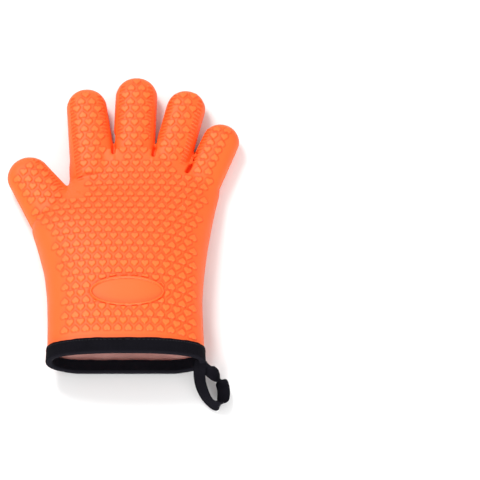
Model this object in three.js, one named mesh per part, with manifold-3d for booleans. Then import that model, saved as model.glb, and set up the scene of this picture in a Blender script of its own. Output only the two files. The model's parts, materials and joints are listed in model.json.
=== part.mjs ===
// Heat resistant glove for the left hand: a moulded silicone outer, a cotton lining sewn from two panels,
// a folded tape bound round the mouth, and a hanging loop of the same tape at the little-finger corner.
// Units are millimetres. The glove lies on its back: +Y runs from the cuff to the fingertips, +X towards the
// little finger and +Z out of the palm. The origin is the middle of its footprint, on the surface it lies on.
// Silicone and cloth bend anywhere. Here they are divided at the ten lines where the fingers flex: the layers
// end in a V at each line, which is closed when the joint reaches its limit.

import * as THREE from "three";
import { mergeVertices } from "three/addons/utils/BufferGeometryUtils.js";
import Module from "manifold-3d";

// Layers, from the outside in.
const SILICONE = 2.4;
const LINING = 1.6;
const TAPE = 1.5;
const GAP = 0.3; // air between neighbouring pieces
const LINING_OUT = SILICONE + GAP;
const LINING_IN = LINING_OUT + LINING;

const BINDING_DEPTH = 12.5; // how far the binding reaches up the cuff, inside and out
const MID_AT_CUFF = 24; // height of the parting plane, which falls evenly from the cuff to the fingers
const MID_AT_FINGERS = 12;
const FLATTENED = 1.5; // depth by which the weight has flattened the underside of the palm
const ROUNDNESS = 2.5; // superellipse power of the palm's cross-section
const CLEARANCE = 0.2; // air under the digits
const BEYOND = 150; // longer than any finger, for cutting tools

// The palm's cross-section at each distance from the mouth: left and right edge, top, and underside, which
// is lifted at the cuff by the binding under it.
const PALM = [
  { y: 0, left: -66, right: 67.3, top: 47.5, under: 1.8 },
  { y: 15, left: -65.6, right: 66.6, top: 47.5, under: 1.8 },
  { y: 35, left: -65.7, right: 65.6, top: 47.5, under: 0 },
  { y: 60, left: -66.5, right: 64.8, top: 47.5, under: 0 },
  { y: 85, left: -69.3, right: 66.4, top: 47, under: 0 },
  { y: 108, left: -75, right: 69, top: 45, under: 0 },
  { y: 130, left: -81.5, right: 72.3, top: 41, under: 0 },
  { y: 150, left: -75, right: 75.9, top: 35, under: 0 },
  { y: 165, left: -56, right: 79.2, top: 30.3, under: 0 },
  { y: 176, left: -49, right: 79.5, top: 28, under: 0 },
  { y: 190, left: -50, right: 62, top: 26, under: 0 },
  { y: 207, left: -49, right: 36, top: 25.2, under: 0 },
];
const PALM_END = PALM[PALM.length - 1].y;

// Each digit is a tapered capsule. knuckle is where its axis crosses its first flex line, splay turns it from
// +Y towards the thumb's side, middle and tip are distances from the knuckle to the second flex line and to the
// fingertip, and root is how far it runs back into the palm.
const HALF_THICK = 13;
const DIGITS = {
  thumb: {
    knuckle: [-72.3, 163.5], splay: 32.9, middle: 17, tip: 40.7, root: 50,
    tipRadius: 18.7, taper: 0.133, bend: [45, 45], back: [10, 5],
  },
  index: {
    knuckle: [-33, 225.4], splay: 6.3, middle: 21, tip: 42, root: 45,
    tipRadius: 17.1, taper: 0.06, bend: [50, 60], back: [15, 10],
  },
  middle: {
    knuckle: [6, 225], splay: -2, middle: 24, tip: 53.6, root: 34,
    tipRadius: 17.8, taper: 0, bend: [50, 60], back: [15, 10],
  },
  ring: {
    knuckle: [42.6, 219], splay: -14.1, middle: 22.5, tip: 47.6, root: 36,
    tipRadius: 16.6, taper: 0, bend: [50, 60], back: [15, 10],
  },
  little: {
    knuckle: [71.5, 195], splay: -22, middle: 19, tip: 39.4, root: 36,
    tipRadius: 15.9, taper: 0.01, bend: [50, 55], back: [15, 10],
  },
};

// The oval label frame that the moulding carries on the palm, near the cuff.
const OVAL = { x: 1.5, y: 56.5, halfWidth: 30.6, halfHeight: 12.9, bead: 1.3 };

// Hanging loop: its two legs leave one root at the cuff's corner and meet at the far end. Each point has the
// lean of the tape there, the angle in degrees of its width from the horizontal.
const LOOP_WIDTH = 11;
const LOOP_THICK = 2;
const LOOP_ROOT = new THREE.Vector3(68.1, -7.2, 19.6);
const OUTER_LEG = [
  { at: [0, 0, 0], lean: 35 },
  { at: [6, -2.5, -4.5], lean: 42 },
  { at: [12, -5, -11], lean: 30 },
  { at: [15.2, -9.5, -16.6], lean: 10 },
  { at: [15.7, -16, -17.4], lean: 6 },
  { at: [14.8, -22, -15.5], lean: 30 },
  { at: [10.5, -26.5, -13.6], lean: 72 },
];
const INNER_LEG = [
  { at: [0, 0, 0], lean: 35 },
  { at: [-2.6, -5, -5], lean: 25 },
  { at: [-2.6, -11.5, -11], lean: 30 },
  { at: [0.8, -18.5, -14.4], lean: 45 },
  { at: [5.5, -24.5, -13.8], lean: 62 },
  { at: [10.5, -26.5, -13.6], lean: 72 },
];

const wasm = await Module();
wasm.setup();

// Solids: three.js geometry to manifold-3d and back.

function toSolid(geometry) {
  const bare = geometry.clone();
  bare.deleteAttribute("normal");
  bare.deleteAttribute("uv");
  const merged = mergeVertices(bare, 1e-4);
  return new wasm.Manifold(
    new wasm.Mesh({
      numProp: 3,
      vertProperties: merged.attributes.position.array,
      triVerts: new Uint32Array(merged.index.array),
    }),
  );
}

function toGeometry(solid) {
  const { vertProperties, triVerts } = solid.getMesh();
  const geometry = new THREE.BufferGeometry();
  geometry.setAttribute("position", new THREE.BufferAttribute(vertProperties, 3));
  geometry.setIndex(new THREE.BufferAttribute(triVerts, 1));
  geometry.computeVertexNormals();
  return geometry;
}

function union(solids) {
  return solids.reduce((all, next) => all.add(next));
}

// A closed skin over a row of convex rings that each hold the same number of points.
function loft(rings) {
  const count = rings[0].length;
  const centre = (ring) =>
    ring.reduce((sum, p) => sum.add(p), new THREE.Vector3()).divideScalar(count);
  const points = [...rings.flat(), centre(rings[0]), centre(rings[rings.length - 1])];
  const firstCap = points.length - 2;
  const lastRing = (rings.length - 1) * count;
  const faces = [];
  for (let i = 0; i < count; i++) {
    const next = (i + 1) % count;
    faces.push(firstCap, next, i);
    faces.push(firstCap + 1, lastRing + i, lastRing + next);
    for (let row = 0; row < lastRing; row += count) {
      faces.push(row + i, row + next, row + count + next);
      faces.push(row + i, row + count + next, row + count + i);
    }
  }
  return new THREE.BufferGeometry().setFromPoints(points).setIndex(faces);
}

// The palm.

function sectionAt(y) {
  const after = PALM.findIndex((s) => s.y > y);
  if (y <= 0) return PALM[0];
  if (after < 0) return PALM[PALM.length - 1];
  const a = PALM[after - 1];
  const b = PALM[after];
  const t = (y - a.y) / (b.y - a.y);
  const between = (key) => THREE.MathUtils.lerp(a[key], b[key], t);
  return { left: between("left"), right: between("right"), top: between("top"), under: between("under") };
}

function midHeight(y) {
  const t = THREE.MathUtils.clamp(y / PALM_END, 0, 1);
  return THREE.MathUtils.lerp(MID_AT_CUFF, MID_AT_FINGERS, t);
}

// The palm's cross-section, drawn in by inset all round, running from +X through -Z so that lofts face out.
function palmRing(y, inset) {
  const POINTS = 32;
  const { left, right, top, under } = sectionAt(y);
  const mid = midHeight(y);
  const wide = (right - left) / 2 - inset;
  const power = (v) => Math.sign(v) * Math.abs(v) ** (2 / ROUNDNESS);
  const ring = [];
  for (let i = 0; i < POINTS; i++) {
    const angle = (-2 * Math.PI * i) / POINTS;
    const rise = power(Math.sin(angle));
    const tall = (rise > 0 ? top - mid : mid + FLATTENED) - inset;
    const z = Math.max(mid + tall * rise, under + inset);
    ring.push(new THREE.Vector3((left + right) / 2 + wide * power(Math.cos(angle)), y, z));
  }
  return ring;
}

function palmForm(inset, from, to) {
  const between = PALM.map((s) => s.y).filter((y) => y > from + 1 && y < to - 1);
  return toSolid(loft([from, ...between, to].map((y) => palmRing(y, inset))));
}

// The height of the palm's upper surface, for what is moulded on it.
function palmTop(x, y) {
  const { left, right, top } = sectionAt(y);
  const share = Math.abs(x - (left + right) / 2) / ((right - left) / 2);
  const mid = midHeight(y);
  return mid + (top - mid) * (1 - share ** ROUNDNESS) ** (1 / ROUNDNESS);
}

// The digits. Each is made in its own frame: the knuckle at the origin, +Y to the fingertip, +Z out of the palm.

function digitForm(digit, inset) {
  const DOME_STEPS = 5;
  const SIDES = 20;
  const tipCentre = digit.tip - digit.tipRadius;
  const tipRadius = digit.tipRadius - inset;
  const root = digit.root - inset;
  const rootRadius = tipRadius + digit.taper * (tipCentre + root);
  const profile = [new THREE.Vector2(0, -root), new THREE.Vector2(rootRadius, -root)];
  for (let i = 0; i < DOME_STEPS; i++) {
    const angle = (i / DOME_STEPS) * (Math.PI / 2);
    profile.push(
      new THREE.Vector2(tipRadius * Math.cos(angle), tipCentre + tipRadius * Math.sin(angle)),
    );
  }
  profile.push(new THREE.Vector2(0, tipCentre + tipRadius));
  const geometry = new THREE.LatheGeometry(profile, SIDES);
  geometry.scale(1, 1, (HALF_THICK - inset) / tipRadius);
  const position = geometry.attributes.position;
  for (let i = 0; i < position.count; i++) {
    position.setZ(i, Math.max(position.getZ(i), inset + CLEARANCE - MID_AT_FINGERS));
  }
  return toSolid(geometry);
}

// Everything past a flex line at distance y, as a cutting tool as wide as side to side. The tool's face leans
// away from the line by toPalm degrees on the palm side and toBack degrees on the back.
function pastLine(y, toPalm, toBack) {
  const leanTo = (degrees) => y + HALF_THICK * 2 * Math.tan(THREE.MathUtils.degToRad(degrees));
  const shape = new THREE.Shape([
    new THREE.Vector2(y, 0),
    new THREE.Vector2(leanTo(toBack), -HALF_THICK * 2),
    new THREE.Vector2(BEYOND, -HALF_THICK * 2),
    new THREE.Vector2(BEYOND, HALF_THICK * 2),
    new THREE.Vector2(leanTo(toPalm), HALF_THICK * 2),
  ]);
  const geometry = new THREE.ExtrudeGeometry(shape, { depth: BEYOND, bevelEnabled: false });
  geometry.translate(0, 0, -BEYOND / 2);
  geometry.applyMatrix4(
    new THREE.Matrix4().makeBasis(
      new THREE.Vector3(0, 1, 0),
      new THREE.Vector3(0, 0, 1),
      new THREE.Vector3(1, 0, 0),
    ),
  );
  return toSolid(geometry);
}

// The tools on both sides of flex line number 0 or 1: what starts after it, and what must end before it.
function flexLine(digit, number) {
  const y = number ? digit.middle : 0;
  const toPalm = digit.bend[number] / 2;
  const toBack = digit.back[number] / 2;
  return {
    after: pastLine(y + GAP, toPalm, toBack),
    notBefore: pastLine(y - GAP, -toPalm, -toBack),
  };
}

const UPPER = +1;
const LOWER = -1;

// Half of the space, above or below the plane through three heights, for dividing the lining's two panels.
function halfSpace(side, heightAt) {
  const corners = [
    [-BEYOND, -BEYOND],
    [BEYOND, -BEYOND],
    [BEYOND, 2 * BEYOND],
    [-BEYOND, 2 * BEYOND],
  ];
  const plane = corners.map(
    ([x, y]) => new THREE.Vector3(x, y, heightAt(y) + (side * GAP) / 2),
  );
  const far = plane.map((p) => p.clone().add(new THREE.Vector3(0, 0, side * BEYOND)));
  return toSolid(loft(side === UPPER ? [plane, far] : [far, plane]));
}

function digitFrame(digit) {
  const frame = new THREE.Group();
  frame.position.set(...digit.knuckle, MID_AT_FINGERS);
  frame.rotation.z = THREE.MathUtils.degToRad(digit.splay);
  frame.updateMatrix();
  return frame;
}

// The part of each digit's form that belongs to the palm, in the palm's frame.
function stubs(inset) {
  return Object.values(DIGITS).map((digit) =>
    digitForm(digit, inset)
      .subtract(flexLine(digit, 0).notBefore)
      .transform(digitFrame(digit).matrix.elements),
  );
}

function palmLayer(outer, inner) {
  const skin = union([palmForm(outer, 0, PALM_END - outer), ...stubs(outer)]);
  const hollow = union([palmForm(inner, -BINDING_DEPTH, PALM_END - inner), ...longStubs(inner)]);
  return skin.subtract(hollow);
}

// The hollow of a layer runs on past the flex lines, so that the layer is open there.
function longStubs(inset) {
  return Object.values(DIGITS).map((digit) =>
    digitForm(digit, inset).transform(digitFrame(digit).matrix.elements),
  );
}

function digitLayer(digit, outer, inner) {
  return digitForm(digit, outer).subtract(digitForm(digit, inner));
}

function proximalPart(digit, layer) {
  return layer.intersect(flexLine(digit, 0).after).subtract(flexLine(digit, 1).notBefore);
}

function distalPart(digit, layer) {
  return layer.intersect(flexLine(digit, 1).after);
}

function ovalFrame() {
  const bead = new THREE.TorusGeometry(2, 1, 8, 32);
  const position = bead.attributes.position;
  for (let i = 0; i < position.count; i++) {
    const angle = Math.atan2(position.getY(i), position.getX(i));
    const out = (Math.hypot(position.getX(i), position.getY(i)) - 2) * OVAL.bead;
    const x = OVAL.x + (OVAL.halfWidth + out) * Math.cos(angle);
    const y = OVAL.y + (OVAL.halfHeight + out) * Math.sin(angle);
    position.setXYZ(i, x, y, palmTop(x, y) + OVAL.bead * position.getZ(i));
  }
  return toSolid(bead);
}

// The binding: tape folded over the edges of the silicone and the lining.
function bindingRing() {
  const band = palmForm(-(GAP + TAPE), -(GAP + TAPE), BINDING_DEPTH);
  const mouth = palmForm(LINING_IN + GAP + TAPE, -BINDING_DEPTH, BINDING_DEPTH * 2);
  const edges = palmForm(-GAP, -GAP, BINDING_DEPTH * 2).subtract(
    palmForm(LINING_IN + GAP, -BINDING_DEPTH, BINDING_DEPTH * 3),
  );
  return band.subtract(mouth).subtract(edges);
}

// One leg of the hanging loop: tape along a smooth line, its width leaning as its points say.
function loopLeg(points) {
  const STEPS = 14;
  const curve = new THREE.CatmullRomCurve3(points.map((p) => new THREE.Vector3(...p.at)));
  const leans = new THREE.SplineCurve(points.map((p, i) => new THREE.Vector2(i, p.lean)));
  const up = new THREE.Vector3(0, 0, 1);
  const rings = [];
  for (let i = 0; i <= STEPS; i++) {
    const along = curve.getTangent(i / STEPS);
    const level = new THREE.Vector3().crossVectors(along, up).normalize();
    const lean = THREE.MathUtils.degToRad(leans.getPoint(i / STEPS).y);
    const wide = level.applyAxisAngle(along, -lean).multiplyScalar(LOOP_WIDTH / 2);
    const thick = new THREE.Vector3().crossVectors(along, wide).setLength(LOOP_THICK / 2);
    const at = curve.getPoint(i / STEPS);
    rings.push(
      [[1, 1], [-1, 1], [-1, -1], [1, -1]].map(([w, t]) =>
        at.clone().addScaledVector(wide, w).addScaledVector(thick, t),
      ),
    );
  }
  return toSolid(loft(rings));
}

// Materials.

const silicone = new THREE.MeshStandardMaterial({ color: 0xff7a3c, roughness: 0.55, metalness: 0 });
const cotton = new THREE.MeshStandardMaterial({ color: 0xcfa3a0, roughness: 0.95, metalness: 0 });
const blackTape = new THREE.MeshStandardMaterial({ color: 0x0d0c10, roughness: 0.9, metalness: 0 });

function addMesh(parent, name, solid, material) {
  const mesh = new THREE.Mesh(toGeometry(solid), material);
  mesh.name = name;
  parent.add(mesh);
}

function addLining(parent, name, layer, heightAt) {
  addMesh(parent, name + "_lining_front", layer.intersect(halfSpace(UPPER, heightAt)), cotton);
  addMesh(parent, name + "_lining_back", layer.intersect(halfSpace(LOWER, heightAt)), cotton);
}

// Assembly.

const glove = new THREE.Group();

const palmShell = palmLayer(0, SILICONE).add(ovalFrame());
addMesh(glove, "palm_shell", palmShell, silicone);
addLining(glove, "palm", palmLayer(LINING_OUT, LINING_IN), midHeight);
addMesh(glove, "cuff_binding", bindingRing(), blackTape);

for (const [name, digit] of Object.entries(DIGITS)) {
  const shell = digitLayer(digit, 0, SILICONE);
  const lining = digitLayer(digit, LINING_OUT, LINING_IN);
  const frame = digitFrame(digit);
  frame.name = name + "_knuckle";
  for (const [place, cut] of [["proximal", proximalPart], ["distal", distalPart]]) {
    const piece = name + "_" + place;
    addMesh(frame, piece + "_shell", cut(digit, shell), silicone);
    addLining(frame, piece, cut(digit, lining), () => 0);
  }
  glove.add(frame);
}

const loop = new THREE.Group();
loop.name = "loop_swing";
loop.position.copy(LOOP_ROOT);
addMesh(loop, "hanging_loop", loopLeg(OUTER_LEG).add(loopLeg(INNER_LEG)), blackTape);
glove.add(loop);

// The footprint's middle goes to the origin.
const footprint = new THREE.Box3().setFromObject(glove);
const middle = footprint.getCenter(new THREE.Vector3());
for (const child of glove.children) {
  child.position.sub(new THREE.Vector3(middle.x, middle.y, footprint.min.z));
}

export default glove;
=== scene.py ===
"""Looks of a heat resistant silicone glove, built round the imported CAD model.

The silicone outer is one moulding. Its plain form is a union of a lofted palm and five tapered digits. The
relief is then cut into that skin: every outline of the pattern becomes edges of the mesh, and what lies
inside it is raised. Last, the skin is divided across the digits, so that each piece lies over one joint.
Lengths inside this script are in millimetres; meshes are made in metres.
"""
import json
import math

import bmesh
import bpy
import numpy as np
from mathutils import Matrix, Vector


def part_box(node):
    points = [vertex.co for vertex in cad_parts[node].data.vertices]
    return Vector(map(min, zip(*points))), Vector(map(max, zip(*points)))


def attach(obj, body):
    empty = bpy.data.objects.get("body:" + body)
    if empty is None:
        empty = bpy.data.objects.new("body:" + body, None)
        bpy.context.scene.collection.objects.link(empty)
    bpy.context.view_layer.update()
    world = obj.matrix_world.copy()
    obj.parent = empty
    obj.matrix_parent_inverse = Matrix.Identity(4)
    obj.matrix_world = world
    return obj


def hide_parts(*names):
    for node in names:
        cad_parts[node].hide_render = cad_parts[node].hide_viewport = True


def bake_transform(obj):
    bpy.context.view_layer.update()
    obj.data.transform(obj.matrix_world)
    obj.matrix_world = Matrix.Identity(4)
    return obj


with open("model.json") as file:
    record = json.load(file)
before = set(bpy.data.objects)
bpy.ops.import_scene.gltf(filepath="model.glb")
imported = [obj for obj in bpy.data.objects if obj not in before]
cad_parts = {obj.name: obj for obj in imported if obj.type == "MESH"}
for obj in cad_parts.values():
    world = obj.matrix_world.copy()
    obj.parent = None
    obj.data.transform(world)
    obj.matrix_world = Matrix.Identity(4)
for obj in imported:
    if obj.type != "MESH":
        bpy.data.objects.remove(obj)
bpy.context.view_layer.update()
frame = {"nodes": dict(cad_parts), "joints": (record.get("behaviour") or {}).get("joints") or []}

MM = 0.001
GLOVE = bpy.context.scene.collection

# Layers and relief.
RELIEF = 1.0  # height of the hearts
BEVEL = 0.6  # width of a heart's sloping side
SILICONE = 2.2
LINING_OUT = 2.4  # depth of the lining's two faces under the silicone's plain skin
LINING_IN = 3.5
TAPE = 1.0
AIR = 0.15
FOLD_STANDS_OUT = 1.8  # how far the CAD binding's fold is from the edge of the silicone
SKIN_VOXEL = 1.05
LINING_VOXEL = 1.7

# The palm's cross-section along its length, from the mouth.
PALM = np.array([
    # y, left, right, top, under
    (0, -66, 67.3, 47.5, 1.8),
    (15, -65.6, 66.6, 47.5, 1.8),
    (35, -65.7, 65.6, 47.5, 0),
    (60, -66.5, 64.8, 47.5, 0),
    (85, -69.3, 66.4, 47, 0),
    (108, -75, 69, 45, 0),
    (130, -81.5, 72.3, 41, 0),
    (150, -75, 75.9, 35, 0),
    (165, -56, 79.2, 30.3, 0),
    (176, -49, 79.5, 28, 0),
    (190, -50, 62, 26, 0),
    (207, -49, 36, 25.2, 0),
])
# The parting plane's height at the mouth and, from LEVEL_FROM on, under the fingers.
MID_AT_CUFF = 24
MID_AT_FINGERS = 12.5
LEVEL_FROM = 165
ROUNDNESS = 2.5
FLATTENED = 1.5


def joint(name):
    return next(j for j in frame["joints"] if j["name"] == name)


def cad_points(node):
    mesh = frame["nodes"][node].data
    points = np.empty(len(mesh.vertices) * 3)
    mesh.vertices.foreach_get("co", points)
    return points.reshape(-1, 3) / MM


def cad_origin():
    """Where the middle of the mouth is: the point that PALM's numbers start from."""
    low, high = (np.array(c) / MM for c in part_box("cuff_binding"))
    return np.array([(low[0] + high[0] - PALM[0, 1] - PALM[0, 2]) / 2, low[1] + FOLD_STANDS_OUT, 0])


ORIGIN = cad_origin()


class Digit:
    """A finger or the thumb, as its CAD joints and shells say it is."""

    def __init__(self, name, second_joint, root, tip_radius, taper):
        first = joint(name + "_knuckle")
        self.name = name
        self.second_joint = second_joint
        self.knuckle = np.array(first["pos_m"]) / MM
        self.across = np.array(first["axis"])
        self.along = np.cross((0, 0, 1), self.across)
        self.middle = np.linalg.norm(np.array(joint(second_joint)["pos_m"]) / MM - self.knuckle)
        _, end = self.coordinates(cad_points(name + "_distal_shell"))
        self.tip = end.max()
        self.tip_radius = tip_radius
        self.taper = taper
        self.root = root
        self.cut = -self.middle / 2

    def coordinates(self, points):
        """How far points are across the digit and along it, from the knuckle."""
        away = points - self.knuckle
        return away @ self.across, away @ self.along

    def half_width(self, t):
        """Half of the digit's width at distance t along it, without its round end."""
        return self.tip_radius + self.taper * np.maximum(self.tip - self.tip_radius - t, 0)

    def axis_x(self, y):
        """The x of the digit's middle line at y, both from the glove's origin."""
        knuckle = self.knuckle - ORIGIN
        return knuckle[0] + (y - knuckle[1]) * self.along[0] / self.along[1]


DIGITS = {
    name: Digit(name, *measures)
    for name, *measures in [
        ("thumb", "thumb_tip_joint", 50, 18.7, 0.133),
        ("index", "index_middle_joint", 45, 17.1, 0.045),
        ("middle", "middle_middle_joint", 34, 17.8, 0),
        ("ring", "ring_middle_joint", 36, 16.6, 0),
        ("little", "little_middle_joint", 36, 15.9, 0.01),
    ]
}

# ---------------------------------------------------------------- plain form


def palm_profile():
    """PALM at every millimetre, with its corners rounded off."""
    every = np.arange(PALM[0, 0], PALM[-1, 0] + 1)
    reach = 7
    weights = np.hanning(2 * reach + 3)[1:-1]
    rounded = [every]
    for column in PALM.T[1:]:
        values = np.interp(every, PALM[:, 0], column)
        before = 2 * values[0] - values[reach:0:-1]
        after = 2 * values[-1] - values[-2:-reach - 2:-1]
        padded = np.concatenate([before, values, after])
        rounded.append(np.convolve(padded, weights / weights.sum(), "valid"))
    return np.array(rounded)


PROFILE = palm_profile()


def mid_height(y):
    return np.interp(y, (0, LEVEL_FROM), (MID_AT_CUFF, MID_AT_FINGERS))


def palm_ring(y, inset, count=96):
    """The palm's outline at y, drawn in by inset."""
    left, right, top, under = (np.interp(y, PROFILE[0], row) for row in PROFILE[1:])
    top, under = top - RELIEF, under + RELIEF
    mid = mid_height(y)
    angle = -2 * np.pi * np.arange(count) / count
    power = 2 / ROUNDNESS
    rise = np.sign(np.sin(angle)) * np.abs(np.sin(angle)) ** power
    wide = np.sign(np.cos(angle)) * np.abs(np.cos(angle)) ** power
    tall = np.where(rise > 0, top - mid, mid - RELIEF + FLATTENED) - inset
    z = np.maximum(mid + tall * rise, under + inset)
    x = (left + right) / 2 + ((right - left) / 2 - inset) * wide
    return np.stack([x, np.full(count, float(y)), z], 1) + ORIGIN


def digit_rings(digit):
    """Rings from the digit's root, inside the palm, to its tip."""
    count, power, half_thick = 64, 2 / 2.35, MID_AT_FINGERS - RELIEF
    centre = digit.tip - digit.tip_radius
    angle = -2 * np.pi * np.arange(count) / count
    wide = np.sign(np.cos(angle)) * np.abs(np.cos(angle)) ** power
    rise = np.sign(np.sin(angle)) * np.abs(np.sin(angle)) ** power
    straight = [(t, 1.0) for t in np.arange(-digit.root, centre, 4.0)]
    turn = np.linspace(0, math.pi / 2, 15)[:-1]
    dome = [(centre + digit.tip_radius * math.sin(a), math.cos(a)) for a in turn]
    rings = []
    for t, share in straight + dome:
        half = digit.half_width(t)
        # The underside is level, so it is the top that rises where a digit thickens.
        extra = (half / digit.tip_radius - 1) * half_thick * 0.8
        z = MID_AT_FINGERS + np.where(rise > 0, half_thick + extra, half_thick) * share ** 0.85 * rise
        ring = digit.knuckle + np.outer(half * share * wide, digit.across) + t * digit.along
        ring[:, 2] = z
        rings.append(ring)
    return rings


def loft_faces(rows, count):
    first = np.arange(rows - 1)[:, None] * count + np.arange(count)
    following = np.arange(rows - 1)[:, None] * count + (np.arange(count) + 1) % count
    return np.stack([first, following, following + count, first + count], 2).reshape(-1, 4).tolist()


def solid_of_rings(name, rings):
    count = len(rings[0])
    points = np.concatenate(rings)
    faces = loft_faces(len(rings), count)
    faces.append(list(range(count))[::-1])
    faces.append(list(range(len(points) - count, len(points))))
    return mesh_object(name, points, faces)


def mesh_object(name, points, faces):
    """A mesh object in metres from points in millimetres."""
    mesh = bpy.data.meshes.new(name)
    mesh.from_pydata((np.asarray(points) * MM).tolist(), [], [list(f) for f in faces])
    mesh.update()
    made = bpy.data.objects.new(name, mesh)
    GLOVE.objects.link(made)
    return made


# The webs between the digits, each with its end and the way it opens: the walls of the digits run on into the
# palm there, above and below a web at the parting plane.
WEBS = [
    ((-12.0, 199.0), (0.02, 1.0)),
    ((22.2, 196.8), (0.13, 1.0)),
    ((50.8, 180.5), (0.42, 1.0)),
    ((-44.6, 162.5), (-0.9, 1.0)),
]
FINGER_WEBS = WEBS[:3]
WEB_LENGTH = 10.5
WEB_HALF_WIDTH = 1.7
GAP_HALF_WIDTH = 1.0
WEB_HALF_THICK = 1.6
WEB_UNDER = MID_AT_FINGERS - WEB_HALF_THICK
WEB_TOP = MID_AT_FINGERS + WEB_HALF_THICK
# Heights clear of the glove, for cuts that go right through it.
BELOW = -9
ABOVE = 80


def slot_solid(name, start, along, half, length, low, high):
    """A vertical slot with a round end."""
    along = np.array(along) / np.hypot(*along)
    side = np.array((along[1], -along[0]))
    turn = np.linspace(0, np.pi, 9)
    outline = [np.array(start) - half * (side * -math.cos(a) + along * (math.sin(a) - 1)) for a in turn]
    outline += [np.array(start) + along * length + side * half * k for k in (-1, 1)]
    rings = [np.array([(*p, z) for p in outline]) + ORIGIN for z in (low, high)]
    made = solid_of_rings(name, rings)
    tidy_mesh(made)
    return made


def gap_cutters(clear):
    """Slots right through the glove between the fingers, clear of the walls there."""
    cutters = []
    for start, along in FINGER_WEBS:
        back = np.array(along) / np.hypot(*along) * clear
        cutters.append(slot_solid("gap", start - back, along, WEB_HALF_WIDTH + clear, 34, BELOW, ABOVE))
    return cutters


def web_cutters():
    """Slots above and below each web, and on from its end right through."""
    cutters = []
    length = WEB_LENGTH + 2
    for (x, y), along in FINGER_WEBS:
        for name, low, high in (("web_top", WEB_TOP, ABOVE), ("web_under", BELOW, WEB_UNDER)):
            cutters.append(slot_solid(name, (x, y), along, WEB_HALF_WIDTH, length, low, high))
        size = np.hypot(*along)
        gap = (x + along[0] / size * WEB_LENGTH, y + along[1] / size * WEB_LENGTH)
        cutters.append(slot_solid("gap", gap, along, GAP_HALF_WIDTH, 16, BELOW, ABOVE))
    return cutters


def plain_form(voxel, smoothing, webs):
    """The glove's closed outer form as triangles: its points and faces."""
    stations = [-8] + list(range(0, int(PALM[-1, 0]), 4)) + [PALM[-1, 0] - 2]
    parts = [solid_of_rings("form_palm", [palm_ring(max(y, 0), 0) + (0, min(y, 0), 0) for y in stations])]
    parts += [solid_of_rings("form_" + d.name, digit_rings(d)) for d in DIGITS.values()]
    cutters = web_cutters() if webs else gap_cutters(1.0)
    plates = []
    if webs:
        plates = [
            slot_solid("web", np.array(start) - along, along, 3.0, WEB_LENGTH, WEB_UNDER, WEB_TOP)
            for start, along in FINGER_WEBS
        ]
    for part in parts:
        tidy_mesh(part)
        for cutter in cutters:
            cut = part.modifiers.new("cut", "BOOLEAN")
            cut.operation = "DIFFERENCE"
            cut.solver = "EXACT"
            cut.object = cutter
        finished = bpy.data.meshes.new_from_object(part.evaluated_get(bpy.context.evaluated_depsgraph_get()))
        part.modifiers.clear()
        part.data = finished
    for cutter in cutters:
        bpy.data.objects.remove(cutter)
    parts += plates
    with bpy.context.temp_override(active_object=parts[0], object=parts[0], selected_objects=parts,
                                   selected_editable_objects=parts):
        bpy.ops.object.join()
    whole = parts[0]
    remesh = whole.modifiers.new("remesh", "REMESH")
    remesh.mode = "VOXEL"
    remesh.voxel_size = voxel * MM
    smooth = whole.modifiers.new("smooth", "SMOOTH")
    smooth.factor = 0.5
    smooth.iterations = smoothing
    made = whole.evaluated_get(bpy.context.evaluated_depsgraph_get()).to_mesh()
    made.calc_loop_triangles()
    points = np.empty(len(made.vertices) * 3)
    made.vertices.foreach_get("co", points)
    faces = np.empty(len(made.loop_triangles) * 3, int)
    made.loop_triangles.foreach_get("vertices", faces)
    bpy.data.objects.remove(whole)
    return points.reshape(-1, 3) / MM, faces.reshape(-1, 3)


# ---------------------------------------------------------------- skins: cutting and raising


class Skin:
    """A triangle mesh with a value or vector for each point: its arrays are divided together."""

    def __init__(self, points, faces):
        self.faces = faces
        self.data = {"points": points}
        self.data["normals"] = self.vertex_normals(points)

    @property
    def points(self):
        return self.data["points"]

    @property
    def normals(self):
        return self.data["normals"]

    def vertex_normals(self, points):
        a, b, c = (points[self.faces[:, i]] for i in range(3))
        face_normals = np.cross(b - a, c - a)
        total = np.zeros_like(points)
        for i in range(3):
            np.add.at(total, self.faces[:, i], face_normals)
        return total / np.maximum(np.linalg.norm(total, axis=1, keepdims=True), 1e-12)

    def cut(self, values, level, where=None, period=None):
        """Puts edges along the line where values pass level, or level plus any number of periods."""
        ends = np.concatenate([self.faces[:, [0, 1]], self.faces[:, [1, 2]], self.faces[:, [2, 0]]])
        ends.sort(axis=1)
        edges, which = np.unique(ends, axis=0, return_inverse=True)
        which = which.reshape(3, -1).T
        a, b = edges.T
        if period:
            cell = np.floor((values - level) / period)
            crossed = np.maximum(cell[a], cell[b]) * period + level
            apart = np.abs(cell[a] - cell[b]) == 1
        else:
            cell = values > level
            crossed = np.full(len(edges), float(level))
            apart = cell[a] != cell[b]
        if where is not None:
            apart &= where[a] & where[b]
        span = values[b] - values[a]
        share = np.clip((crossed - values[a]) / np.where(span == 0, 1, span), 0, 1)
        # An end that is almost on the line already serves as it is.
        apart &= (share > 0.03) & (share < 0.97)
        new = np.full(len(edges), -1)
        new[apart] = len(self.points) + np.arange(apart.sum())
        share = share[apart, None]
        for key, array in self.data.items():
            flat = array.reshape(len(array), -1)
            made = flat[a[apart]] * (1 - share) + flat[b[apart]] * share
            self.data[key] = np.concatenate([flat, made]).reshape(-1, *array.shape[1:])
        self.faces = divided(self.faces, new[which])

    def piece(self, keep):
        """The skin of some of the faces."""
        used, faces = np.unique(self.faces[keep], return_inverse=True)
        made = Skin.__new__(Skin)
        made.faces = faces.reshape(-1, 3)
        made.data = {key: array[used] for key, array in self.data.items()}
        return made


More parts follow.
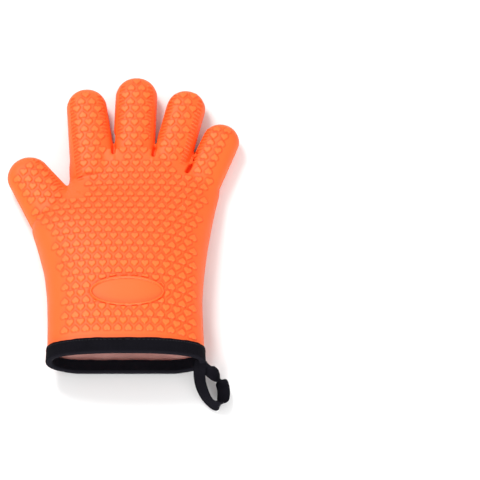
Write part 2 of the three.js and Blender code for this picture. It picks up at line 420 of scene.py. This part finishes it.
def divided(faces, middles):
    """Faces whose sides carry new points: none, one, two or three each. Every point stays connected."""
    count = (middles >= 0).sum(1)
    parts = [faces[count == 0]]
    for turn in range(3):
        f = np.roll(faces, -turn, axis=1)
        m = np.roll(middles, -turn, axis=1)
        one = (count == 1) & (m[:, 0] >= 0)
        a, b, c = f[one].T
        parts += [np.stack([a, m[one, 0], c], 1), np.stack([m[one, 0], b, c], 1)]
        two = (count == 2) & (m[:, 2] < 0)
        a, b, c = f[two].T
        p, q = m[two, 0], m[two, 1]
        parts += [np.stack([p, b, q], 1), np.stack([a, p, q], 1), np.stack([a, q, c], 1)]
    three = count == 3
    a, b, c = faces[three].T
    p, q, r = middles[three].T
    parts += [np.stack(x, 1) for x in ((a, p, r), (p, b, q), (r, q, c), (p, q, r))]
    return np.concatenate(parts)


# ---------------------------------------------------------------- relief pattern

PITCH = 9.0  # hearts in a row
ROW = 6.8  # from row to row
PALM_ROWS = 26
FIRST_ROW_Y = 189.6  # the row at the fingers' roots; its hearts point to the cuff
FIRST_ROW_X = 7.6
HEART = 5.8  # size of a heart: it is 1.2 times this wide and, stretched, 1.2 times this high
STRETCH = 1.1
OVAL = {"x": 1.5, "y": 56.5, "wide": 30.6, "high": 12.9, "half_rim": 1.2}


def row_places():
    """The y of every row of the palm: the rows are evenly spaced along the skin, which rises to the cuff."""
    every = np.arange(FIRST_ROW_Y, 0, -0.5)
    rise = np.diff(np.interp(every, PROFILE[0], PROFILE[3]))
    length = np.concatenate([[0], np.cumsum(np.hypot(0.5, rise))])
    return np.interp(np.arange(PALM_ROWS) * ROW, length, every)


ROW_PLACES = row_places()


def row_y(row):
    return FIRST_ROW_Y - ROW * row if row < 0 else ROW_PLACES[row]


def columns(row, left, right):
    """The places in a row from left to right; rows that point to the fingers are half a pitch off."""
    start = FIRST_ROW_X - (PITCH / 2 if row % 2 else 0)
    first = math.ceil((left - start) / PITCH)
    last = math.floor((right - start) / PITCH)
    return [start + PITCH * i for i in range(first, last + 1)]


def palm_left(row):
    if row in (0, 6):
        return -38
    if row < 6:
        return -34
    if row < 13:
        return -78.5 + 4.5 * (row - 7)
    return {13: -60.5}.get(row, -56 if row < 18 else -51.5)


def palm_right(row):
    return {0: 36, 1: 40, 2: 71}.get(row, 67 if row < 6 and row % 2 else 62 if row < 10 else 58)


def palm_hearts():
    for row in range(PALM_ROWS):
        for x in columns(row, palm_left(row), palm_right(row)):
            # The rows bow down over the palm's outer side.
            bow = 4.3 * min(1, max(0.4, row / 10))
            over = max(0, x - 20) / 37
            yield x, row_y(row) - bow * over ** 2, row % 2, -math.atan(2 * bow * over / 37)


# The thumb's rows: which, and from where to where. They slope up to its tip.
THUMB_ROWS = [(1, -87, -77), (2, -92, -73), (3, -96.5, -68), (4, -92, -64), (5, -87.5, -59), (6, -83, -46)]
THUMB_SLOPE = 0.13


def thumb_hearts():
    for row, left, right in THUMB_ROWS:
        for x in columns(row, left, right):
            y = row_y(row) + THUMB_SLOPE * (-46 - x)
            yield x + 0.5 * (7 - row), y, row % 2, -math.atan(THUMB_SLOPE)


def finger_hearts():
    for row in range(-10, 0):
        y = row_y(row)
        x = DIGITS["index"].axis_x(y)
        steps = (-0.5, 0.5) if row % 2 else (0,) if row == -10 else (-1, 0, 1)
        yield from ((x + PITCH * i, y, row % 2, 0.1) for i in steps)
    for row in range(-12, 0):
        y = row_y(row)
        steps = (-0.5, 0.5) if row % 2 else (0,) if row == -12 else (-1, 0, 1)
        yield from ((DIGITS["middle"].axis_x(y) + PITCH * i, y, row % 2, 0) for i in steps)
    for row in range(-10, 0):
        y = row_y(row)
        axis = DIGITS["ring"].axis_x(y)
        drift = 0.055 * (y - FIRST_ROW_Y) + 0.6
        places = columns(row, axis - 9.3 - drift, axis + 7.6 - drift)
        yield from ((x + drift, y, row % 2, -0.05) for x in places)
    for row in range(-5, 2):
        y = row_y(row)
        x = DIGITS["little"].axis_x(y) - 1.2
        yield from ((x + PITCH * i, y - 1.2 * i, row % 2, -0.12) for i in (-0.5, 0.5))


def heart_depth(x, y):
    """How far points lie inside a unit heart's outline, whose point is at the origin and points down."""
    x = np.abs(x)
    lobe = np.hypot(x - 0.25, y - 0.75) - math.sqrt(2) / 4
    half = 0.5 * np.maximum(x + y, 0)
    side = np.sqrt(np.minimum(x ** 2 + (y - 1) ** 2, (x - half) ** 2 + (y - half) ** 2)) * np.sign(x - y)
    return -np.where(x + y > 1, lobe, side)


def hearts_field(points):
    """How far points lie inside the nearest heart, in millimetres, seen along z."""
    field = np.full(len(points), -5.0)
    plan = points[:, :2] - ORIGIN[:2]
    order = np.argsort(plan[:, 1])
    heights = plan[order, 1]
    for x, y, up, turn in [*palm_hearts(), *thumb_hearts(), *finger_hearts()]:
        near = order[np.searchsorted(heights, y - HEART):np.searchsorted(heights, y + HEART)]
        near = near[np.abs(plan[near, 0] - x) < HEART]
        dx, dy = (plan[near] - (x, y)).T
        c, s = math.cos(turn), math.sin(turn)
        u, v = dx * c + dy * s, dy * c - dx * s
        v = -v if up else v
        field[near] = np.maximum(field[near], HEART * heart_depth(u / HEART, v / (HEART * STRETCH) + 0.64))
    return field


def oval_distance(points):
    """Distance to the oval's line, negative inside it."""
    x, y = (points[:, :2] - ORIGIN[:2] - (OVAL["x"], OVAL["y"])).T
    a, b = OVAL["wide"], OVAL["high"]
    near = np.hypot(x / a, y / b)
    return near * (near - 1) / np.maximum(np.hypot(x / a ** 2, y / b ** 2), 1e-9)


RIB_PITCH = 3.5
RIB_HALF = 0.95
RIB_HEIGHT = 1.0
RIB_INNER = 9.4
RIB_OUTER = 14.6
RIB_LEAN = 0.1
# The digits' ribbed flanks: which side, and from where to where along the digit.
FLANKS = [
    ("index", -1, -50, 33), ("index", 1, -10, 33), ("middle", -1, -10, 45), ("middle", 1, -11, 45),
    ("ring", -1, -8, 39), ("ring", 1, -28, 39), ("little", -1, -10, 30), ("thumb", 1, -8, 32),
]


def rib_fields(points, digit, side, start, end):
    """How far along the ribs' own direction points are, and whether they are on that flank."""
    across, along = digit.coordinates(points)
    out = across * side * digit.tip_radius / digit.half_width(np.maximum(along, 0))
    phase = along + RIB_LEAN * (out - RIB_INNER) + (out - RIB_INNER) ** 2 * 0.02
    round_end = np.hypot(np.maximum(along - digit.tip + digit.tip_radius, 0), out)
    inside = np.minimum.reduce([out - RIB_INNER, RIB_OUTER - round_end, along - start, end - along])
    return phase, inside


def nub_field(points):
    """The small flashes below the webs, where the mould's halves met."""
    field = np.full(len(points), -5.0)
    plan = points[:, :2] - ORIGIN[:2]
    for (x, y), along in WEBS:
        dx, dy = np.array(along) / np.hypot(*along) * -3.6
        x, y = x + dx * 0.5, y + dy * 0.5
        away = plan - (x, y)
        share = np.clip((away @ (dx, dy)) / (dx * dx + dy * dy), 0, 1)
        field = np.maximum(field, 0.9 - np.linalg.norm(away - np.outer(share, (dx, dy)), axis=1))
    return field


def smooth_step(values, low, high):
    share = np.clip((values - low) / (high - low), 0, 1)
    return share * share * (3 - 2 * share)


def crease(distance, centre, reach):
    """1 at a distance of centre, falling to 0 within reach."""
    return 1 - smooth_step(np.abs(distance - centre), 0, reach)


def raise_relief(skin):
    """Cuts the pattern's outlines into a plain skin and lifts what they enclose."""
    def hearts():
        field = hearts_field(skin.points)
        front = skin.normals[:, 2] > 0
        field = np.where(front, np.minimum(field, oval_distance(skin.points) - OVAL["half_rim"] - 0.4), field)
        return np.where(np.abs(skin.normals[:, 2]) > 0.12, field, -5)

    for level in (0, BEVEL):
        skin.cut(hearts(), level)
    for level in (-OVAL["half_rim"], -0.5, 0.5, OVAL["half_rim"]):
        skin.cut(oval_distance(skin.points), level, where=skin.normals[:, 2] > 0.3)
    for name, side, start, end in FLANKS:
        for level in (-RIB_HALF, 0, RIB_HALF):
            phase, inside = rib_fields(skin.points, DIGITS[name], side, start, end)
            where = (inside > -1) & (np.abs(skin.normals[:, 2]) > 0.12) & is_of(skin.points, name)
            skin.cut(phase, level, where=where, period=RIB_PITCH)
    for level in (-0.6, 0, 0.6):
        seam = skin.points[:, 2] - mid_height(skin.points[:, 1] - ORIGIN[1])
        skin.cut(seam, level, where=np.abs(skin.normals[:, 2]) < 0.75)

    heart = hearts()
    height = RELIEF * smooth_step(heart, 0, BEVEL)
    rim = np.abs(oval_distance(skin.points))
    rim_height = 1.5 * (1 - smooth_step(rim, 0.45, OVAL["half_rim"]))
    height = np.where(skin.normals[:, 2] > 0.3, np.maximum(height, rim_height), height)
    # Painted shade in the creases at the oval rim's feet.
    crease_shade = np.where(skin.normals[:, 2] > 0.3, crease(rim, 1.0, 0.7) * (heart < 0), 0)
    for name, side, start, end in FLANKS:
        phase, inside = rib_fields(skin.points, DIGITS[name], side, start, end)
        off = np.abs((phase + RIB_PITCH / 2) % RIB_PITCH - RIB_PITCH / 2)
        rib = RIB_HEIGHT * (1 - smooth_step(off, 0.1, RIB_HALF)) * smooth_step(inside, -0.3, 0.8)
        clear = smooth_step(-heart, 0.4, 1.0)
        mine = is_of(skin.points, name) & (np.abs(skin.normals[:, 2]) > 0.12)
        height = np.maximum(height, np.where(mine, rib * clear, 0))
        # Painted shade along each rib's foot on its cuffward side, the side turned away from the light.
        below = (phase + RIB_HALF) % RIB_PITCH
        below = np.minimum(below, RIB_PITCH - below)
        dark = crease(below, 0, 0.8) * smooth_step(inside, -0.3, 0.5) * clear
        crease_shade = np.maximum(crease_shade, np.where(mine, dark, 0))
    nub = 0.7 * smooth_step(nub_field(skin.points), 0, 0.7)
    height = np.where(skin.normals[:, 2] > 0.3, np.maximum(height, nub), height)
    seam = skin.points[:, 2] - mid_height(skin.points[:, 1] - ORIGIN[1])
    flash = 0.35 * (1 - smooth_step(np.abs(seam), 0, 0.6)) * (np.abs(skin.normals[:, 2]) < 0.75)
    height = np.maximum(height, flash)
    # Painted shade in a band along each heart's outline, out over the skin beside it and up its sloping side.
    near = smooth_step(heart, -1.3, 0.0) * (1 - smooth_step(heart, 0.0, BEVEL))
    # Painted highlight: relief marks the hearts' tops, which the material colours a lighter orange, as if lit
    # more than the skin round them.
    skin.data["relief"] = smooth_step(heart, 0.1, BEVEL)
    # The shade attribute holds all this painted shade for the material.
    skin.data["shade"] = np.maximum(near, crease_shade)
    skin.data["plain"] = skin.points.copy()
    skin.data["points"] = skin.points + skin.normals * height[:, None]


# ---------------------------------------------------------------- dividing the glove over its joints


def nearest_digit(points, normals):
    """Index of each point's digit, and -1 on the palm. A wall that faces a digit isn't its own."""
    share = np.full((len(DIGITS), len(points)), 9.0)
    for i, digit in enumerate(DIGITS.values()):
        across, along = digit.coordinates(points)
        here = (along > digit.cut) & (along < digit.tip + 9)
        share[i] = np.where(here, np.abs(across) / digit.half_width(along), 9.0)
        faces_it = (normals @ digit.across) * np.sign(across) < -0.2
        share[i] = np.where(faces_it & (share[i] > 0.75), 9.0, share[i])
    found = share.argmin(0)
    return np.where(share.min(0) < 1.3, found, -1)


def is_of(points, name):
    """Whether points are nearer to this digit than to the others, on its root too."""
    best, own = None, None
    for digit in DIGITS.values():
        across, along = digit.coordinates(points)
        share = np.abs(across) / digit.half_width(along) + np.maximum(-along - 50, 0)
        best = share if best is None else np.minimum(best, share)
        own = share if digit.name == name else own
    return own <= best + 1e-9


def cut_at_joints(skin):
    """Puts edges where the pieces meet: before the knuckle and between the two joints of each digit."""
    for digit in DIGITS.values():
        for level in (digit.cut, digit.middle / 2):
            across, along = digit.coordinates(skin.data.get("plain", skin.points))
            near = (np.abs(across) < 1.28 * digit.half_width(along)) & (np.abs(along - level) < 8)
            skin.cut(along, level, where=near)


def divide(skin):
    """The skin's pieces: ("palm", None) and (digit, part), where part is base or tip."""
    middles = skin.data.get("plain", skin.points)[skin.faces].mean(1)
    owner = nearest_digit(middles, skin.normals[skin.faces].mean(1))
    yield "palm", None, skin.piece(owner < 0)
    for i, (name, digit) in enumerate(DIGITS.items()):
        along = digit.coordinates(middles)[1]
        yield name, "base", skin.piece((owner == i) & (along <= digit.middle / 2))
        yield name, "tip", skin.piece((owner == i) & (along > digit.middle / 2))


def ride_joint(made, name, part):
    """Puts a palm piece on the palm's body; a digit's piece only gets its transform baked into its mesh."""
    if name == "palm":
        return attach(made, "palm")
    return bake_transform(made)


def shell_object(name, skin, outer, inner, normals, values=()):
    """A closed shell between two positions of a skin, its rims joined."""
    count = len(outer)
    f = skin.faces
    ends = np.concatenate([f[:, [0, 1]], f[:, [1, 2]], f[:, [2, 0]]])
    key = ends.min(1) * count + ends.max(1)
    _, first, times = np.unique(key, return_index=True, return_counts=True)
    rim = ends[first[times == 1]]
    a, b = rim.T
    rims = np.concatenate([np.stack([b, a, a + count], 1), np.stack([b, a + count, b + count], 1)])
    faces = np.concatenate([f, f[:, ::-1] + count, rims])
    mesh = bpy.data.meshes.new(name)
    mesh.vertices.add(2 * count)
    mesh.vertices.foreach_set("co", (np.concatenate([outer, inner]) * MM).ravel())
    mesh.loops.add(faces.size)
    mesh.loops.foreach_set("vertex_index", faces.ravel())
    mesh.polygons.add(len(faces))
    mesh.polygons.foreach_set("loop_start", np.arange(0, faces.size, 3))
    mesh.polygons.foreach_set("use_smooth", np.ones(len(faces), bool))
    mesh.update()
    mesh.validate()
    for value in values:
        attribute = mesh.attributes.new(value, "FLOAT", "POINT")
        attribute.data.foreach_set("value", np.tile(skin.data[value], 2).astype(np.float32))
    mesh.normals_split_custom_set_from_vertices(np.concatenate([normals, -skin.normals]).tolist())
    made = bpy.data.objects.new(name, mesh)
    GLOVE.objects.link(made)
    return made


# ---------------------------------------------------------------- materials


def material(name):
    made = bpy.data.materials.new(name)
    made.use_nodes = True
    tree = made.node_tree
    return made, tree, tree.nodes["Principled BSDF"]


def node(tree, kind, **settings):
    made = tree.nodes.new(kind)
    for key, value in settings.items():
        if key in made.inputs:
            made.inputs[key].default_value = value
        else:
            setattr(made, key, value)
    return made


def silicone_material():
    made, tree, shader = material("silicone")
    link = tree.links.new
    relief = node(tree, "ShaderNodeAttribute", attribute_name="relief")
    shade = node(tree, "ShaderNodeAttribute", attribute_name="shade")
    place = node(tree, "ShaderNodeTexCoord")
    cloudy = node(tree, "ShaderNodeTexNoise", Scale=28.0, Detail=3.0, Roughness=0.5)
    link(place.outputs["Object"], cloudy.inputs["Vector"])
    plain = node(tree, "ShaderNodeMix", data_type="RGBA")
    plain.inputs["A"].default_value = (1.0, 0.126, 0.016, 1)
    plain.inputs["B"].default_value = (1.0, 0.145, 0.020, 1)
    link(cloudy.outputs["Fac"], plain.inputs["Factor"])
    # Painted highlight: the hearts' tops are mixed towards this lighter orange.
    raised = node(tree, "ShaderNodeMix", data_type="RGBA")
    raised.inputs["B"].default_value = (1.0, 0.164, 0.026, 1)
    link(relief.outputs["Fac"], raised.inputs["Factor"])
    link(plain.outputs["Result"], raised.inputs["A"])
    # Painted shade: a darker, redder orange wherever the shade attribute is set: round the hearts, at the
    # oval rim's feet and on the ribs' shaded sides.
    painted_shade = node(tree, "ShaderNodeMix", data_type="RGBA")
    painted_shade.inputs["B"].default_value = (1.0, 0.094, 0.010, 1)
    link(shade.outputs["Fac"], painted_shade.inputs["Factor"])
    link(raised.outputs["Result"], painted_shade.inputs["A"])
    link(painted_shade.outputs["Result"], shader.inputs["Base Color"])
    grain = node(tree, "ShaderNodeTexNoise", Scale=900.0, Detail=2.0)
    link(place.outputs["Object"], grain.inputs["Vector"])
    rough = node(tree, "ShaderNodeMapRange")
    rough.inputs["To Min"].default_value = 0.46
    rough.inputs["To Max"].default_value = 0.6
    link(grain.outputs["Fac"], rough.inputs["Value"])
    link(rough.outputs["Result"], shader.inputs["Roughness"])
    bump = node(tree, "ShaderNodeBump", Strength=0.08, Distance=0.0002)
    link(grain.outputs["Fac"], bump.inputs["Height"])
    link(bump.outputs["Normal"], shader.inputs["Normal"])
    shader.inputs["Specular IOR Level"].default_value = 0.35
    return made


def woven_material(name, dark, light, threads, rough=0.9, sheen=0.0, depth=0.0003):
    """Plain weave: two sets of threads at right angles, each a little uneven."""
    made, tree, shader = material(name)
    link = tree.links.new
    place = node(tree, "ShaderNodeTexCoord")
    uneven = node(tree, "ShaderNodeTexNoise", Scale=60.0, Detail=4.0)
    link(place.outputs["Object"], uneven.inputs["Vector"])
    bands = []
    for direction in ("X", "Y"):
        wave = node(tree, "ShaderNodeTexWave", wave_type="BANDS", bands_direction=direction,
                    wave_profile="SIN", Scale=threads, Distortion=0.6, Detail=1.0)
        link(place.outputs["Object"], wave.inputs["Vector"])
        bands.append(wave)
    weave = node(tree, "ShaderNodeMath", operation="MULTIPLY")
    link(bands[0].outputs["Fac"], weave.inputs[0])
    link(bands[1].outputs["Fac"], weave.inputs[1])
    both = node(tree, "ShaderNodeMath", operation="MULTIPLY_ADD")
    link(uneven.outputs["Fac"], both.inputs[0])
    both.inputs[1].default_value = 0.7
    link(weave.outputs["Value"], both.inputs[2])
    colour = node(tree, "ShaderNodeMix", data_type="RGBA")
    colour.inputs["A"].default_value = (*dark, 1)
    colour.inputs["B"].default_value = (*light, 1)
    link(both.outputs["Value"], colour.inputs["Factor"])
    link(colour.outputs["Result"], shader.inputs["Base Color"])
    bump = node(tree, "ShaderNodeBump", Strength=0.5, Distance=depth)
    link(weave.outputs["Value"], bump.inputs["Height"])
    link(bump.outputs["Normal"], shader.inputs["Normal"])
    shader.inputs["Roughness"].default_value = rough
    shader.inputs["Sheen Weight"].default_value = sheen
    shader.inputs["Sheen Roughness"].default_value = 0.5
    shader.inputs["Specular IOR Level"].default_value = 0.08
    return made


SILICONE_LOOK = silicone_material()
LINING_LOOK = woven_material("lining cotton", (0.50, 0.24, 0.21), (0.78, 0.46, 0.42), 420.0)
TAPE_LOOK = woven_material("binding tape", (0.0016, 0.0013, 0.0024), (0.006, 0.0055, 0.009), 300.0, 0.9)
THREAD_LOOK = woven_material("black thread", (0.004, 0.0035, 0.005), (0.02, 0.018, 0.024), 900.0, 0.6, 0.1)


def finish_piece(made, look):
    made.data.materials.append(look)


# ---------------------------------------------------------------- silicone outer


def make_silicone():
    skin = Skin(*plain_form(SKIN_VOXEL, 6, webs=True))
    cut_at_joints(skin)
    y = skin.points[:, 1] - ORIGIN[1]
    skin.cut(y, 0.0)
    raise_relief(skin)
    skin.faces = skin.faces[skin.data["plain"][skin.faces][:, :, 1].mean(1) > ORIGIN[1]]
    skin.data["look"] = skin.vertex_normals(skin.points)
    for name, part, piece in divide(skin):
        label = "palm_silicone" if name == "palm" else f"{name}_silicone_{part}"
        made = shell_object(label, piece, piece.points, piece.data["plain"] - piece.normals * SILICONE,
                            piece.data["look"], ("relief", "shade"))
        finish_piece(made, SILICONE_LOOK)
        ride_joint(made, name, part)
        if name == "palm":
            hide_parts("palm_shell")
        else:
            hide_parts(f"{name}_{'proximal' if part == 'base' else 'distal'}_shell")


# ---------------------------------------------------------------- lining


# The lining's folds: each wave's turns along x and y, and its phase.
FOLDS = [(0.19, 0.07, 0.3), (0.11, -0.16, 1.7), (-0.07, 0.24, 4.0), (0.31, 0.11, 2.2)]


def crumple(points):
    """Soft folds, as a sum of a few slanting waves whose strengths change along the glove."""
    x, y, _ = (points - ORIGIN).T
    folds = np.zeros(len(points))
    for k, (fx, fy, phase) in enumerate(FOLDS):
        folds += np.sin(fx * x + fy * y + phase + 0.9 * np.sin(0.05 * y + k)) / (1 + 0.5 * k)
    return folds


def make_lining():
    skin = Skin(*plain_form(LINING_VOXEL, 8, webs=False))
    cut_at_joints(skin)
    skin.cut(skin.points[:, 1] - ORIGIN[1], 2.0)
    level = skin.points[:, 2] - mid_height(skin.points[:, 1] - ORIGIN[1])
    skin.data["level"] = level
    skin.cut(level, 0)
    skin.faces = skin.faces[skin.points[skin.faces][:, :, 1].mean(1) > ORIGIN[1] + 2]
    for name, part, piece in divide(skin):
        fold = 0.45 * crumple(piece.points) if name == "palm" else np.zeros(len(piece.points))
        fold *= smooth_step(piece.points[:, 1] - ORIGIN[1], 4, 22)
        piece.data["fold"] = np.clip(fold, -1.2, 0.0)
        middle = piece.data["level"][piece.faces].mean(1)
        for side, keep in (("front", middle > 0), ("back", middle <= 0)):
            half = piece.piece(keep)
            label = f"{name}_lining_{side}" + (f"_{part}" if part else "")
            node_name = {"base": "proximal_", "tip": "distal_", None: ""}[part]
            depth = LINING_OUT - half.data["fold"][:, None]
            outer = half.points - half.normals * depth
            inner = outer - half.normals * (LINING_IN - LINING_OUT)
            made = shell_object(label + "_cloth", half, outer, inner, half.normals)
            finish_piece(made, LINING_LOOK)
            ride_joint(made, name, part)
            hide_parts(f"{name}_{node_name}lining_{side}")


# ---------------------------------------------------------------- cuff binding


OUTER_LEG = 12.3  # how far the tape reaches over the outside, from the edge
INNER_LEG = 10.2  # it reaches less far inside the mouth


def make_binding():
    """Tape folded over the edge: its closed section, in depth and y, is carried round the mouth."""
    count = 288
    deep = LINING_IN + AIR
    section = []
    for t in np.linspace(OUTER_LEG, 1.0, 9):
        section.append((-(AIR + TAPE), t))
    middle = (deep - AIR) / 2
    reach = deep / 2 + AIR + TAPE
    for a in np.linspace(0, math.pi, 13):
        section.append((middle - reach * math.cos(a), -1.6 * math.sin(a) + 0.6))
    for t in np.linspace(1.0, INNER_LEG, 9):
        section.append((deep + TAPE, t))
    section.append((deep + 0.2, INNER_LEG + 0.2))
    for t in np.linspace(INNER_LEG - 0.8, 1.4, 7):
        section.append((deep, t))
    section.append((middle, 1.0))
    for t in np.linspace(1.4, OUTER_LEG - 1.0, 7):
        section.append((-AIR, t))
    section.append((-(AIR + 0.3), OUTER_LEG + 0.1))
    rows = []
    for depth, y in section:
        ring = palm_ring(max(y, 0), depth, count)
        ring[:, 1] = ORIGIN[1] + y
        along = np.arange(count) * 2 * np.pi / count
        wave = 0.16 * np.sin(9 * along + 0.5) + 0.12 * np.sin(23 * along) + 0.08 * np.sin(41 * along + 2)
        ring[:, 1] += wave * np.clip(y / OUTER_LEG, 0, 1)
        ring[:, 2] = np.maximum(ring[:, 2], 0.02)
        rows.append(ring)
    points = np.concatenate(rows)
    total = len(rows)
    faces = []
    for r in range(total):
        n = (r + 1) % total
        for i in range(count):
            j = (i + 1) % count
            faces.append((r * count + i, n * count + i, n * count + j, r * count + j))
    made = mesh_object("cuff_binding_tape", points, faces)
    tidy_mesh(made)
    finish_piece(made, TAPE_LOOK)
    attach(made, "palm")
    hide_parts("cuff_binding")


def tidy_mesh(made, angle=40):
    """Faces out, and smooth but for real corners."""
    work = bmesh.new()
    work.from_mesh(made.data)
    bmesh.ops.recalc_face_normals(work, faces=work.faces)
    for face in work.faces:
        face.smooth = True
    for edge in work.edges:
        if len(edge.link_faces) == 2 and edge.calc_face_angle(0) > math.radians(angle):
            edge.smooth = False
    work.to_mesh(made.data)
    work.free()


def thread(name, stitches, radius):
    """One thread piece: a short sausage for each stitch, given as its two ends."""
    sides, steps = 8, 6
    points, faces = [], []
    for a, b in stitches:
        a, b = np.array(a), np.array(b)
        along = b - a
        length = np.linalg.norm(along)
        along = along / length
        side = np.cross(along, (0.3, 0.2, 0.93))
        side /= np.linalg.norm(side)
        other = np.cross(along, side)
        start = len(points)
        for i in range(steps + 1):
            share = i / steps
            r = radius * max(0.15, math.sin(math.pi * share)) ** 0.4
            for k in range(sides):
                angle = 2 * math.pi * k / sides
                out = math.cos(angle) * side + math.sin(angle) * other
                points.append(a + along * length * share + r * out)
        faces += [[start + i for i in f] for f in loft_faces(steps + 1, sides)]
        faces.append([start + k for k in range(sides)][::-1])
        faces.append([start + steps * sides + k for k in range(sides)])
    made = mesh_object(name, points, faces)
    tidy_mesh(made, 60)
    finish_piece(made, THREAD_LOOK)
    return made


STITCH_Y = 10.4  # how far the stitch row is from the glove's edge


def make_stitches():
    """The lockstitch that holds the binding, near its edge, all round the outside."""
    count = 128
    ring = palm_ring(STITCH_Y, -(AIR + TAPE + 0.02), count * 3)
    ring[:, 1] = ORIGIN[1] + STITCH_Y
    ring[:, 2] = np.maximum(ring[:, 2], 0.3)
    stitches = [(ring[3 * i], ring[(3 * i + 2) % len(ring)]) for i in range(count)]
    made = thread("cuff_lockstitch", stitches, 0.3)
    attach(made, "palm")


# ---------------------------------------------------------------- hanging loop

LOOP_WIDTH = 11.0
LOOP_THICK = 1.7
# The tape's middle line from one end of the strap to the other, and the direction of its width there.
LOOP = [
    ((66.8, 1.5, 21), (0.3, -0.55, -0.78)),
    ((70.5, -3.6, 18), (0.25, -0.6, -0.75)),
    ((75.5, -6.4, 13.6), (0.3, -0.75, -0.6)),
    ((80.2, -9.2, 9.2), (0.6, -0.75, -0.2)),
    ((82.6, -14.2, 7.0), (0.95, -0.25, 0.1)),
    ((83.4, -20.5, 6.4), (0.97, 0.05, 0.2)),
    ((82.6, -27.0, 6.2), (0.9, 0.3, 0.35)),
    ((79.2, -31.8, 6.4), (0.55, 0.45, 0.7)),
    ((74.6, -31.6, 7.0), (0.35, 0.2, 0.9)),
    ((70.2, -27.6, 8.0), (0.62, -0.1, 0.78)),
    ((66.6, -21.6, 9.6), (0.8, -0.25, 0.55)),
    ((63.9, -14.6, 12.2), (0.85, -0.3, 0.4)),
    ((62.9, -8.0, 16.0), (0.88, -0.3, 0.3)),
    ((63.2, -3.0, 20.5), (0.86, -0.35, 0.3)),
    ((64.2, 1.5, 23), (0.85, -0.35, 0.3)),
]


def along_loop(steps):
    """Middle points and width directions at even steps of a smooth line through LOOP."""
    places = np.array([p for p, _ in LOOP], float)
    widths = np.array([w for _, w in LOOP], float)
    count = len(places)
    middles, sides = [], []
    for u in np.linspace(0, count - 1, steps):
        i = min(int(u), count - 2)
        t = u - i
        picked = [min(max(i + k, 0), count - 1) for k in (-1, 0, 1, 2)]
        blend = np.array([
            -t + 2 * t ** 2 - t ** 3,
            2 - 5 * t ** 2 + 3 * t ** 3,
            t + 4 * t ** 2 - 3 * t ** 3,
            t ** 3 - t ** 2,
        ]) / 2
        middles.append(blend @ places[picked])
        sides.append(blend @ widths[picked])
    return np.array(middles) + ORIGIN, np.array(sides)


def make_loop():
    steps = 120
    middles, sides = along_loop(steps)
    tangents = np.gradient(middles, axis=0)
    tangents /= np.linalg.norm(tangents, axis=1, keepdims=True)
    sides -= (sides * tangents).sum(1, keepdims=True) * tangents
    sides /= np.linalg.norm(sides, axis=1, keepdims=True)
    thick = np.cross(tangents, sides)
    # The section is two tapes stitched flat: thin, with rounded edges and a shallow groove by each.
    section = []
    across = 15
    for i in range(across):
        w = -1 + 2 * i / (across - 1)
        groove = 0.12 * math.exp(-((abs(w) - 0.74) / 0.06) ** 2)
        section.append((w, 0.5 * (1 - abs(w) ** 10 * 0.65) - groove))
    section += [(w, -t) for w, t in section[::-1]]
    rings = []
    for m, s, n in zip(middles, sides, thick):
        rings.append(np.array([m + s * w * LOOP_WIDTH / 2 + n * t * LOOP_THICK for w, t in section]))
    made = solid_of_rings("hanging_loop_tape", rings)
    for v in made.data.vertices:
        v.co.z = max(v.co.z, 0.0002)
    tidy_mesh(made, 50)
    finish_piece(made, TAPE_LOOK)
    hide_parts("hanging_loop")
    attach(made, "loop")


# ---------------------------------------------------------------- set: floor, light, camera

CAMERA_TILT = 63.0
CAMERA_AWAY = 4.586
CAMERA_LENS = 400
CAMERA_AIM = (97.2, 128.2)  # what the camera points at on the floor, from the middle of the mouth
FLOOR_SIZE = 16.0


def make_set():
    bpy.ops.mesh.primitive_grid_add(x_subdivisions=4, y_subdivisions=4, size=FLOOR_SIZE,
                                    location=(0, 0, -0.0002))
    floor = bpy.context.object
    floor.name = "floor"
    made, _, shader = material("pale floor")
    shader.inputs["Base Color"].default_value = (0.93, 0.93, 0.93, 1)
    shader.inputs["Roughness"].default_value = 0.9
    shader.inputs["Specular IOR Level"].default_value = 0.1
    floor.data.materials.append(made)

    world = bpy.data.worlds.new("studio")
    bpy.context.scene.world = world
    world.use_nodes = True
    world.node_tree.nodes["Background"].inputs["Color"].default_value = (1, 1, 1, 1)
    world.node_tree.nodes["Background"].inputs["Strength"].default_value = 0.64

    for name, place, size, power in (
        ("key", (-0.5, 0.75, 1.2), 0.6, 14.5),
        ("fill", (0.9, -0.5, 1.4), 1.4, 3),
        ("low front", (0.0, -1.1, 0.32), 0.5, 13),
    ):
        light = bpy.data.lights.new(name, "AREA")
        light.shape = "DISK"
        light.size = size
        light.energy = power
        lamp = bpy.data.objects.new(name, light)
        GLOVE.objects.link(lamp)
        lamp.location = place
        lamp.rotation_mode = "QUATERNION"
        lamp.rotation_quaternion = (-Vector(place)).to_track_quat("-Z", "Y")

    camera = bpy.data.cameras.new("camera")
    camera.lens = CAMERA_LENS
    camera.sensor_width = 36
    eye = bpy.data.objects.new("camera", camera)
    GLOVE.objects.link(eye)
    tilt = math.radians(CAMERA_TILT)
    aim = Vector(((ORIGIN[0] + CAMERA_AIM[0]) * MM, (ORIGIN[1] + CAMERA_AIM[1]) * MM, 0))
    eye.location = aim + Vector((0, -math.cos(tilt), math.sin(tilt))) * CAMERA_AWAY
    eye.rotation_mode = "QUATERNION"
    eye.rotation_quaternion = (aim - eye.location).to_track_quat("-Z", "Y")
    bpy.context.scene.camera = eye
    # Colours come out as they are mixed, as in a catalogue photograph.
    bpy.context.scene.view_settings.view_transform = "Standard"


make_set()
make_silicone()
make_lining()
make_binding()
make_stitches()
make_loop()
